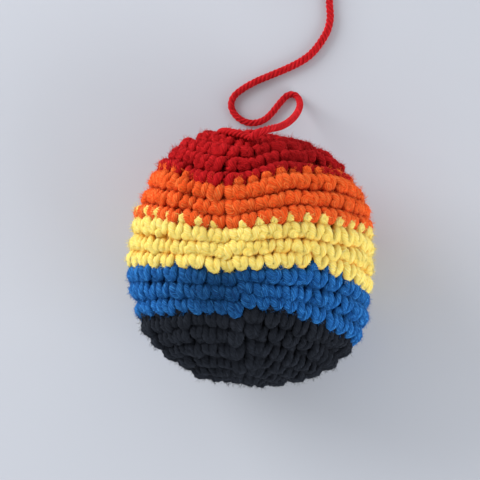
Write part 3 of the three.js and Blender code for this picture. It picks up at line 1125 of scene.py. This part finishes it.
@dataclass
class ColourKnot(Piece):
    """An overhand knot of two yarn ends on the inside, where one colour follows another."""

    number: int
    yarn: Yarn = Yarn(width=1.5, thickness=1.5)
    radius: float = 2.1
    swing: float = 1.05
    lift: float = 1.1
    end_length: float = 3.2
    end_rise: float = 0.5
    opening: float = 0.3
    sink: float = 0.5
    loose_thickness: float = 1.6
    points: int = 26
    spacing: float = 0.4
    nearby: float = 0.01

    def place(self) -> tuple[Array, Array]:
        """Where the knot lies, against the lining, half a stitch past the seam.

        Returns:
            Its middle, and its three axes as rows: along the round, across it, and outwards.
        """
        turn = 0.5 / self.shape.full_stitches
        depth = self.shape.fabric + self.shape.clearance + self.lift
        depth += self.loose_thickness / 2.0 + self.sink
        near = np.array([turn - self.nearby, turn, turn + self.nearby])
        where = np.full(3, float(self.number))
        around, normals = self.shape.at(where, near, np.zeros(3), -np.inf)
        centre, _ = self.shape.at(where[:1], near[1:2], np.array([depth]), 0.0)
        along = unit(around[2] - around[0])
        across = unit(np.cross(normals[1], along))
        return centre[0], np.stack([np.cross(across, normals[1]), across, normals[1]])

    def surface(self) -> Surface:
        """Sweeps the yarn along a trefoil, opened at one lobe, with its ends drawn out sideways.

        At each angle a it lies at an angle of 2a, at a radius that swings with the cosine of 3a
        and a height that swings with the sine of 3a.

        Returns:
            The knot.
        """
        step = np.arange(self.points + 1) / self.points
        angle = self.opening + (CIRCLE - 2.0 * self.opening) * step
        around = self.radius + self.swing * np.cos(3.0 * angle)
        flat = [around * np.sin(2.0 * angle), around * np.cos(2.0 * angle)]
        loop = np.stack([*flat, self.lift * np.sin(3.0 * angle)], axis=-1)
        reach = self.radius + self.swing + self.end_rise
        start = [[-self.end_length, reach, self.lift]]
        end = [[self.end_length, reach, -self.lift]]
        route = smooth_route(np.concatenate([start, loop, end]), self.spacing)
        centre, axes = self.place()
        return self.yarn.sweep(centre + route @ axes, axes[2])


@dataclass(frozen=True)
class FibreFinish:
    """Loose white fibre: a tangle of pale streaks, with a relief in metres."""

    slot: str = "fibrefill"
    colour: Triple = (0.85, 0.84, 0.81)
    shade: Triple = (0.66, 0.65, 0.62)
    stops: Pair = (0.3, 0.6)
    roughness: float = 0.95
    sheen: float = 0.4
    scale: float = 900.0
    detail: float = 6.0
    distortion: float = 2.5
    relief: float = 0.0006

    def material(self) -> Material:
        """Makes the node material, from a tangled noise in the piece's own space.

        Returns:
            The material, named after its slot.
        """
        made = bpy.data.materials.new(self.slot)
        nodes = Nodes(made)
        where = nodes.add("TexCoord", "Object")
        noise = {"Scale": self.scale, "Detail": self.detail, "Distortion": self.distortion}
        tangle = nodes.add("TexNoise", "Fac", {"Vector": where, **noise})
        tone = nodes.ramp(tangle, (self.stops[0], self.shade), (self.stops[1], self.colour))
        bump = nodes.add("Bump", "Normal", {"Distance": self.relief, "Height": tangle})
        finish = {"Roughness": self.roughness, "Sheen Weight": self.sheen}
        nodes.fill(nodes.shader, {"Base Color": tone, "Normal": bump, **finish})
        return made


@dataclass
class FibreFilling(Piece):
    """The loose filling: one lumpy body inside the lining, with a hollow round each knot."""

    knots: list[ColourKnot]
    rows: int = 90
    columns: int = 128
    lump_depth: float = 0.9
    lumps: int = 40
    lump_size: float = 6.0
    hollow_depth: float = 5.6
    hollow_width: float = 6.2
    fill: float = 0.35

    def surface(self) -> Surface:
        """The lining's surface, sunk in bell-shaped lumps, at most two deep, and in hollows.

        A hollow has the section exp(-(distance / width) to the fourth power).

        Returns:
            The filling.
        """
        row = np.linspace(0.0, self.shape.rounds, self.rows)[1:-1]
        column = np.arange(self.columns) / self.columns
        rounds, turns = np.meshgrid(row, column, indexing="ij")
        base = self.shape.fabric + self.shape.clearance
        flat, _ = self.shape.at(rounds, turns, np.full(rounds.shape, base), base)
        random = np.random.default_rng(SEED)
        spread = flat.reshape(-1, 3)
        centres = spread[random.choice(len(spread), self.lumps, replace=False)]
        away = np.linalg.norm(flat[..., None, :] - centres, axis=-1)
        sunk = self.lump_depth * np.sum(bell(away, self.lump_size), axis=-1)
        knots = np.stack([knot.place()[0] for knot in self.knots])
        near = np.linalg.norm(flat[..., None, :] - knots, axis=-1) / self.hollow_width
        hollow = self.hollow_depth * np.max(np.exp(-(near**4)), axis=-1)
        depth = base + np.maximum(np.minimum(sunk, 2.0 * self.lump_depth), hollow)
        points, _ = self.shape.at(rounds, turns, depth, base)
        ends = np.array([0.0, float(self.shape.rounds)])
        poles, _ = self.shape.at(ends, np.zeros(2), np.full(2, base), base)
        corners, sizes = grid_faces(len(points), self.columns, closed=False, turned=False)
        every = np.concatenate([points.reshape(-1, 3), poles])
        return Surface(every, corners, sizes, every.copy(), np.ones(len(every)))

    def build(self, material: Material) -> Object:
        """Args:
            material: the fibre's finish.

        Returns:
            The finished piece.
        """
        made = super().build(material)
        return made


@dataclass
class LooseEnd(Piece):
    """The end of the red yarn: out of the fabric, down to the floor, and away in loose curves.

    Its route is a list of given points, and the rest of it is put away in a flat coil.
    """

    yarn: Yarn = LOOSE_YARN
    exit_rounds: float = 18.25
    exit_turn: float = 0.012
    slant: float = 45.0
    rest_height: float = 1.0
    coil_loops: int = 2
    coil_steps: int = 24
    coil_radius: float = 11.5
    coil_pitch: float = 2.7
    coil_centre: Pair = (0.5, 87.0)
    spacing: float = 0.45
    swell: float = 0.14
    swell_place: float = 95.0
    swell_reach: float = 16.0
    fall: tuple[Triple, ...] = (
        (2.1, 30.0, 35.1), (3.6, 30.9, 33.5), (5.0, 31.9, 30.4), (6.1, 33.5, 26.0),
        (6.9, 35.7, 20.0), (7.3, 38.1, 13.5), (7.6, 40.8, 7.6), (7.5, 43.3, 3.4), (6.8, 45.2, 1.5),
    )
    path: tuple[Pair, ...] = (
        (5.9, 46.1), (4.7, 46.3), (3.6, 45.8), (2.3, 44.3), (1.0, 42.4), (-0.1, 40.8),
        (-1.6, 39.2), (-3.7, 38.1), (-6.2, 37.9), (-8.6, 38.8), (-10.4, 40.5), (-11.2, 42.6),
        (-10.6, 44.8), (-8.4, 47.0), (-4.7, 49.4), (-1.1, 51.2), (2.5, 53.0), (6.0, 55.0),
        (8.9, 57.3), (11.3, 60.6), (13.0, 64.2), (13.5, 67.7), (13.0, 71.5),
    )

    def exit(self) -> tuple[Array, Array]:
        """Where the yarn leaves the fabric.

        Returns:
            The middle of its first section, and the direction that it leaves in.
        """
        slant = math.radians(self.slant)
        stand_off = self.shape.clearance + self.yarn.width / 2.0 * math.sin(slant)
        rounds, turns, depth = np.array([[self.exit_rounds], [self.exit_turn], [-stand_off]])
        start, normals = self.shape.at(rounds, turns, depth, 0.0)
        normal = normals[0]
        aside = unit(np.array([1.0, 0.0, 0.0]) - normal * normal[0])
        return start[0], normal * math.cos(slant) + aside * math.sin(slant)

    def route(self) -> Array:
        """The route's points: the exit, the fall, the curves on the floor, and the flat coil.

        The coil winds inwards at a steady rate, from a straight start along +Y.

        Returns:
            The points, one a row.
        """
        start, heading = self.exit()
        out = start + heading * self.yarn.width
        path = np.column_stack([np.array(self.path), np.full(len(self.path), self.rest_height)])
        index = np.arange(self.coil_loops * self.coil_steps + 1)
        angle = CIRCLE * index / self.coil_steps
        radius = self.coil_radius - self.coil_pitch * index / self.coil_steps
        across = self.coil_centre[0] + radius * np.cos(angle)
        ahead = self.coil_centre[1] + radius * np.sin(angle)
        coil = np.column_stack([across, ahead, np.full(len(index), self.rest_height)])
        lead = coil[0] - np.array([0.0, 2.0 * self.yarn.width + self.shape.clearance, 0.0])
        meet = coil[0] - np.array([0.0, self.yarn.width, 0.0])
        return np.concatenate([[start, out], np.array(self.fall), path, [lead, meet], coil])

    def line(self) -> Array:
        """The yarn's middle line, one point a row."""
        return smooth_route(self.route(), self.spacing)

    def surface(self) -> Surface:
        """Sweeps the yarn along its line, a little thicker where its twist has opened.

        Returns:
            The loose end, pressed flat where it would sink below the ground.
        """
        line = self.line()
        along = self.spacing * np.arange(len(line))
        opened = bell(along - self.swell_place, self.swell_reach)
        tube = self.yarn.sweep(line, np.array([0.0, 0.0, 1.0]), 1.0 + self.swell * opened)
        tube.points[:, 2] = np.maximum(tube.points[:, 2], 0.0)
        return tube

    def build(self, material: Material) -> Object:
        """Args:
            material: the yarn's finish.

        Returns:
            The finished piece.
        """
        made = super().build(material)
        line = self.line()
        return made


@dataclass(frozen=True)
class PhotoCamera:
    """The camera at the photograph's place: almost straight above, and a little turned."""

    aim: Triple = (-5.723, 6.291, 0.0)
    distance: float = 303.0
    roll: float = 5.0
    lean_right: float = 6.7
    lean_down: float = 5.0
    lens: float = 85.0
    sensor: float = 36.0
    nearest: float = 10.0

    def build(self) -> Object:
        """Makes the camera and gives it to the scene.

        Returns:
            The camera.
        """
        roll = math.radians(self.roll)
        right = Vector((math.cos(roll), math.sin(roll), 0.0))
        up = Vector((-math.sin(roll), math.cos(roll), 0.0))
        tilt_right = math.sin(math.radians(self.lean_right))
        tilt_down = math.sin(math.radians(self.lean_down))
        back = right * tilt_right - up * tilt_down
        back.z = math.sqrt(1.0 - tilt_right**2 - tilt_down**2)
        side = up.cross(back).normalized()
        data = bpy.data.cameras.new("camera")
        data.lens = self.lens
        data.sensor_width = self.sensor
        data.clip_start = self.nearest * METRES
        camera = bpy.data.objects.new("camera", data)
        turned = Matrix((side, back.cross(side), back)).transposed().to_4x4()
        place = (Vector(self.aim) + back * self.distance) * METRES
        camera.matrix_world = Matrix.Translation(place) @ turned
        bpy.context.scene.collection.objects.link(camera)
        bpy.context.scene.camera = camera
        return camera


@dataclass(frozen=True)
class Studio:
    """A pale floor under a sky that is brighter low down, with a soft lamp at each side."""

    floor_size: float = 2400.0
    floor_colour: Triple = (0.556, 0.577, 0.631)
    floor_roughness: float = 0.9
    floor_specular: float = 0.05
    grain_scale: float = 45.0
    grain_detail: float = 3.0
    grain_shade: float = 0.985
    sky_colour: Triple = (0.96, 0.98, 1.0)
    horizon_strength: float = 1.95
    zenith_strength: float = 0.13
    right_power: float = 1.85
    left_power: float = 3.25
    lamp_side: Triple = (0.85, -0.5, 0.0)
    lamp_size: float = 400.0
    lamp_distance: float = 600.0
    lamp_height: float = 260.0

    def build(self) -> None:
        """Makes the floor, the sky and the lamps."""
        self.floor()
        self.sky()
        self.lamp("lamp_right", Vector(self.lamp_side), self.right_power)
        self.lamp("lamp_left", -Vector(self.lamp_side), self.left_power)

    def floor(self) -> None:
        """Makes the floor: a flat sheet of smooth pale paper."""
        half = self.floor_size / 2.0 * METRES
        mesh = bpy.data.meshes.new("floor")
        corners = [(-half, -half, 0.0), (half, -half, 0.0), (half, half, 0.0), (-half, half, 0.0)]
        mesh.from_pydata(corners, [], [(0, 1, 2, 3)])
        paper = bpy.data.materials.new("pale_floor")
        nodes = Nodes(paper)
        where = nodes.add("TexCoord", "Object")
        noise = {"Vector": where, "Scale": self.grain_scale, "Detail": self.grain_detail}
        darker = tuple(self.grain_shade * share for share in self.floor_colour)
        grain = nodes.add("TexNoise", "Fac", noise)
        tone = nodes.ramp(grain, (0.0, darker), (1.0, self.floor_colour))
        finish = {"Roughness": self.floor_roughness, "Specular IOR Level": self.floor_specular}
        nodes.fill(nodes.shader, {"Base Color": tone, **finish})
        mesh.materials.append(paper)
        made = bpy.data.objects.new("floor", mesh)
        bpy.context.scene.collection.objects.link(made)

    def sky(self) -> None:
        """Gives the world a slightly cool light that fades from the horizon to the zenith."""
        world = bpy.data.worlds.new("soft_sky")
        nodes = Nodes(world, "Background")
        where = nodes.add("TexCoord", "Generated")
        up = nodes.add("SeparateXYZ", "Z", {"Vector": where})
        levels = {"Value": up, "To Min": self.horizon_strength, "To Max": self.zenith_strength}
        level = nodes.add("MapRange", "Result", levels)
        nodes.fill(nodes.shader, {"Color": (*self.sky_colour, 1.0), "Strength": level})
        bpy.context.scene.world = world

    def lamp(self, name: str, side: Vector, power: float) -> None:
        """Makes one square soft lamp that faces the ball.

        Args:
            name: the lamp's name.
            side: the level direction in which it stands from the ball.
            power: its power in watts.
        """
        data = bpy.data.lights.new(name, "AREA")
        data.shape = "SQUARE"
        data.size = self.lamp_size * METRES
        data.energy = power
        lamp = bpy.data.objects.new(name, data)
        place = side * self.lamp_distance + Vector((0.0, 0.0, self.lamp_height))
        lamp.location = place * METRES
        lamp.rotation_euler = place.to_track_quat("Z", "Y").to_euler()
        bpy.context.scene.collection.objects.link(lamp)


@dataclass
class CrochetedBall:
    """The whole ball: its five colours of fabric, what they hold, and the loose end."""

    shape: BallShape = BallShape()
    end_start: LaidStrand = LaidStrand(
        (
            (19.4, 0.85, 2.4), (19.15, 0.88, 0.9), (18.9, 0.915, -0.15),
            (18.75, 0.95, -0.5), (18.55, 0.985, -0.75), (18.25, 1.012, -0.97),
        )
    )

    def bands(self) -> list[CrochetBand]:
        """The five colours of the fabric, from the black pole to the red one.

        Returns:
            One band for each colour, the last with the start of the loose end on it.
        """
        shape = self.shape
        grown = shape.growing_rounds
        edges = [grown + shape.colour_rounds * step for step in range(shape.straight_bands + 1)]
        limits = [0, *edges, shape.rounds]
        nodes = ["black_base", "blue_band", "yellow_band", "orange_band", "red_crown"]
        made = []
        for node, colour, first, last in zip(nodes, YarnColour, limits, limits[1:]):
            name = f"{colour.name.lower()}_fabric"
            lay = BandLay[colour.name].value
            made.append(CrochetBand(name, (node,), colour.value.slot, shape, first, last, lay=lay))
        made[-1].laid = (self.end_start,)
        return made

    def pieces(self) -> list[Piece]:
        """Everything that the ball is made of, without the loose end.

        Returns:
            The bands, the knots in the colour that begins there, the rings and the filling.
        """
        bands = self.bands()
        names = ["knot_black_blue", "knot_blue_yellow", "knot_yellow_orange", "knot_orange_red"]
        knots = [
            ColourKnot(f"{name}_yarn", (name,), band.slot, self.shape, band.first)
            for name, band in zip(names, bands[1:])
        ]
        ends = {"magic_ring": (bands[0], 0), "closing_ring": (bands[-1], self.shape.rounds)}
        rings = [
            PoleRing(f"{name}_yarn", (name,), band.slot, self.shape, float(rounds))
            for name, (band, rounds) in ends.items()
        ]
        filling = FibreFilling("fibre_filling", ("filling",), FibreFinish.slot, self.shape, knots)
        return [*bands, *knots, *rings, filling]

    def build(self) -> None:
        """Makes the loose end and every piece of the ball, with their finishes."""
        finishes = [*(colour.value for colour in YarnColour), FibreFinish()]
        materials = {finish.slot: finish.material() for finish in finishes}
        tail = ("yarn_tail", "yarn_tail_coil")
        # the loose end gets the lighter copy of the red yarn's finish: painted light
        LooseEnd("red_yarn_end", tail, RED_PAINTED_LIGHTER.slot, self.shape).build(RED_PAINTED_LIGHTER.material())
        for piece in self.pieces():
            piece.build(materials[piece.slot])


def main() -> None:
    """Builds the camera, the loose end, the ball and the studio."""
    logging.basicConfig(level=logging.INFO, format="%(message)s")
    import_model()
    scene = bpy.context.scene
    scene.view_settings.view_transform = "Standard"
    PhotoCamera().build()
    CrochetedBall().build()
    Studio().build()


if __name__ == "__main__":
    main()
